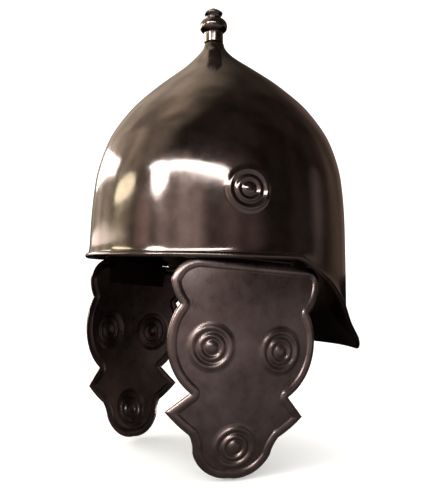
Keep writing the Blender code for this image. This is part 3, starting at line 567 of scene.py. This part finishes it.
# The satin polish of the guards spreads the room's light, so they look greyer than the bowl.
guard_steel = antiqued_steel("antiqued_satin_steel", "#675b5a", "#837775", "#9f9290",
                             (0.24, 0.36), 0.00010)
for side, mirrored in (("left", 1), ("right", -1)):
    guard = skin(f"cheek_guard_sheet_{side}", guard_surface * (mirrored, 1, 1), guard_steel)
    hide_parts(f"cheek_guard_{side}")
    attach(guard, f"guard_{side}")

# The hinges. Each is a plain steel hinge behind the rim, left as it came from the forge: a leaf
# riveted inside the bowl, a leaf inside the guard and a pin through both.
hinge_steel = antiqued_steel("forged_dark_steel", "#2c2724", "#3b342f", "#4a423c", (0.38, 0.55), 0.00008)
for part_name in ("hinge_bowl_leaf", "hinge_cheek_leaf", "hinge_pin"):
    for side in ("left", "right"):
        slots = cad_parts[f"{part_name}_{side}"].data.materials
        slots.clear()
        slots.append(hinge_steel)

# The floor. A pale matt board that the guards' tips just clear. Polished steel would mirror all
# of it, so for reflections the board glows with painted light: a painted shade as dim as a floor outside the
# light, dimmest behind the helmet.
FLOOR_HALF_SIZE = 9.0
FLOOR_BELOW_TIPS = 0.002
floor_mesh = bpy.data.meshes.new("studio_floor")
floor_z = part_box("cheek_guard_left")[0][2] - FLOOR_BELOW_TIPS
floor_corners = [(FLOOR_HALF_SIZE * x, FLOOR_HALF_SIZE * y, floor_z)
                 for x, y in ((-1, -1), (1, -1), (1, 1), (-1, 1))]
floor_mesh.from_pydata(floor_corners, [], [(0, 1, 2, 3)])
floor = bpy.data.objects.new("studio_floor", floor_mesh)
bpy.context.scene.collection.objects.link(floor)
floor_paint = bpy.data.materials.new("matt_white_paint_with_painted_glow")
floor_paint.use_nodes = True
paint = floor_paint.node_tree
paint.nodes["Principled BSDF"].inputs["Base Color"].default_value = colour("#f4f3f1")
paint.nodes["Principled BSDF"].inputs["Roughness"].default_value = 0.9
floor_place = node(paint, "ShaderNodeTexCoord", {}).outputs["Object"]
# Painted light for reflections only: the floor glows with a painted shade, pale grey towards the wearer's
# left front and nearly black behind.
lit_side = node(paint, "ShaderNodeVectorMath", {"operation": "DOT_PRODUCT", 1: (0.8, -0.6, 0.0)},
                {0: floor_place})
lit = node(paint, "ShaderNodeMapRange", {1: -0.05, 2: 0.50, 3: 0.0, 4: 1.0}, {0: lit_side.outputs["Value"]})
painted_floor_shade = stops(node(paint, "ShaderNodeValToRGB", {}, {0: lit.outputs[0]}),
                 [(0.0, "#1b1615"), (1.0, "#a99c98")])
painted_floor_glow = node(paint, "ShaderNodeEmission", {"Strength": 1.0}, {"Color": painted_floor_shade.outputs["Color"]})
floor_path = node(paint, "ShaderNodeLightPath", {})
floor_mix = node(paint, "ShaderNodeMixShader", {}, {0: floor_path.outputs["Is Glossy Ray"],
                                                    1: paint.nodes["Principled BSDF"].outputs[0],
                                                    2: painted_floor_glow.outputs[0]})
paint.links.new(floor_mix.outputs[0], paint.nodes["Material Output"].inputs["Surface"])
floor_mesh.materials.append(floor_paint)

# The light. The room is white to the eye and to the floor, and in the steel it is a dim brown
# room with a warm glow high on the wearer's right, faint upright bands, and soft boxes.
world = bpy.data.worlds.new("studio")
bpy.context.scene.world = world
world.use_nodes = True
sky = world.node_tree
sky.nodes.clear()


def direction(azimuth, elevation):
    """The unit vector that points to an azimuth from the front and an elevation, in degrees."""
    turn, rise = np.radians(azimuth), np.radians(elevation)
    return np.array([np.sin(turn) * np.cos(rise), -np.cos(turn) * np.cos(rise), np.sin(rise)])


def glow(towards, azimuth, elevation, inner, outer, hex_value):
    """A round patch of the room's light: full within the inner angle, none past the outer."""
    facing = node(sky, "ShaderNodeVectorMath",
                  {"operation": "DOT_PRODUCT", 1: direction(azimuth, elevation)}, {0: towards})
    share = node(sky, "ShaderNodeMapRange",
                 {"interpolation_type": "SMOOTHSTEP", 1: float(np.cos(np.radians(outer))),
                  2: float(np.cos(np.radians(inner))), 3: 0.0, 4: 1.0}, {0: facing.outputs["Value"]})
    return node(sky, "ShaderNodeMix", {"data_type": "RGBA", 6: (0.0, 0.0, 0.0, 1.0), 7: colour(hex_value)},
                {0: share.outputs[0]}).outputs[2]


towards = node(sky, "ShaderNodeTexCoord", {}).outputs["Generated"]
# The room's patches, in degrees: the warm upper wall, the pale wall ahead, the olive and the
# pinkish patch low beside the window, the dim wall to the left, and two faint ones behind.
ROOM_GLOWS = (
    # azimuth, elevation, inner, outer, colour
    (-62.0, 38.0, 26.0, 58.0, "#f0dcc4"),
    (20.0, 8.0, 10.0, 38.0, "#dcc4ba"),
    (-42.0, 7.0, 5.0, 17.0, "#8e9a62"),
    (-5.0, 7.0, 2.0, 12.0, "#b08c80"),
    (60.0, 2.0, 14.0, 50.0, "#86706d"),
    (156.0, 10.0, 2.0, 12.0, "#6a5f5a"),
    (-160.0, 5.0, 10.0, 40.0, "#6e5a50"),
)
total = node(sky, "ShaderNodeRGB", {}).outputs[0]
total.default_value = colour("#43382f")
for patch in ROOM_GLOWS:
    total = node(sky, "ShaderNodeMix", {"data_type": "RGBA", "blend_type": "ADD", 0: 1.0},
                 {6: total, 7: glow(towards, *patch)}).outputs[2]
squeezed = node(sky, "ShaderNodeMapping", {"Scale": (5.0, 5.0, 0.7)}, {"Vector": towards})
bands = node(sky, "ShaderNodeTexNoise", {"Scale": 1.0, "Detail": 0.5}, {"Vector": squeezed.outputs["Vector"]})
banded = node(sky, "ShaderNodeMapRange", {1: 0.3, 2: 0.7, 3: 0.6, 4: 1.35}, {0: bands.outputs["Fac"]})
path = node(sky, "ShaderNodeLightPath", {})
white = node(sky, "ShaderNodeBackground", {"Color": (1.0, 1.0, 1.0, 1.0), "Strength": 1.35})
room = node(sky, "ShaderNodeBackground", {}, {"Color": total, "Strength": banded.outputs[0]})
mix = node(sky, "ShaderNodeMixShader", {},
           {0: path.outputs["Is Glossy Ray"], 1: white.outputs[0], 2: room.outputs[0]})
node(sky, "ShaderNodeOutputWorld", {}, {"Surface": mix.outputs[0]})


LAMP_DISTANCE = 2.6
LAMPS_AIM_AT = (0.0, 0.0, 0.08)


def soft_box(name, shape, azimuth, elevation, width, height, tilt, hex_value, brightness):
    """A lamp that faces the bowl, its sizes and tilt in degrees as the bowl sees them."""
    lamp = bpy.data.lights.new(name, "AREA")
    lamp.shape = shape
    lamp.size, lamp.size_y = (2 * LAMP_DISTANCE * np.tan(np.radians((width, height)) / 2)).tolist()
    lamp.color = colour(hex_value)[:3]
    lamp.energy = brightness * np.pi * lamp.size * lamp.size_y
    holder = bpy.data.objects.new(name, lamp)
    to_box = direction(azimuth, elevation)
    level = unit(np.cross((0.0, 0.0, 1.0), to_box))
    upright = np.cross(to_box, level)
    slant = np.radians(tilt)
    x_axis = np.cos(slant) * level + np.sin(slant) * upright
    axes = np.stack([x_axis, np.cross(to_box, x_axis), to_box], axis=-1)
    place = Matrix.Translation(LAMP_DISTANCE * to_box + LAMPS_AIM_AT)
    holder.matrix_world = place @ Matrix(axes.tolist()).to_4x4()
    bpy.context.scene.collection.objects.link(holder)


soft_box("window_far_left", "RECTANGLE", -70.0, 18.5, 42.0, 10.0, 12.0, "#fffaf2", 9.0)
soft_box("window_cream", "ELLIPSE", -30.0, 15.5, 26.0, 6.0, 14.0, "#fbf6d6", 5.0)
soft_box("window_upright", "ELLIPSE", 9.0, 23.0, 18.0, 16.0, 10.0, "#fffdf8", 9.0)
soft_box("window_long", "ELLIPSE", 36.0, 27.5, 72.0, 9.0, -4.0, "#fffdf8", 9.0)
soft_box("low_strip", "ELLIPSE", -55.0, 4.0, 74.0, 3.0, 2.0, "#fff2e6", 2.2)

# The camera, worked out from the photograph's outlines, all in the photograph's pixels but the
# sensor, which is in millimetres over the longer side.
PHOTO_WIDTH, PHOTO_HEIGHT = 430.0, 491.0
FOCAL_PIXELS = 688.549
CENTRE_ACROSS = 204.509
SENSOR = 36.0
camera_data = bpy.data.cameras.new("camera")
camera_data.lens = FOCAL_PIXELS / PHOTO_HEIGHT * SENSOR
camera_data.sensor_width = SENSOR
camera_data.shift_x = (PHOTO_WIDTH / 2 - CENTRE_ACROSS) / PHOTO_HEIGHT
camera_data.shift_y = 0.0
camera_data.clip_start = 0.01
camera_data.clip_end = 50.0
camera = bpy.data.objects.new("camera", camera_data)
turn_to = Matrix(((0.54720054, 0.02806904, 0.83653075), (0.83698368, -0.01182188, -0.54710014),
                  (-0.0054672, 0.99953608, -0.02996227)))
camera.matrix_world = Matrix.Translation((0.49352, -0.33745, -0.00308)) @ turn_to.to_4x4()
bpy.context.scene.collection.objects.link(camera)
bpy.context.scene.camera = camera
bpy.context.scene.view_settings.view_transform = "Standard"
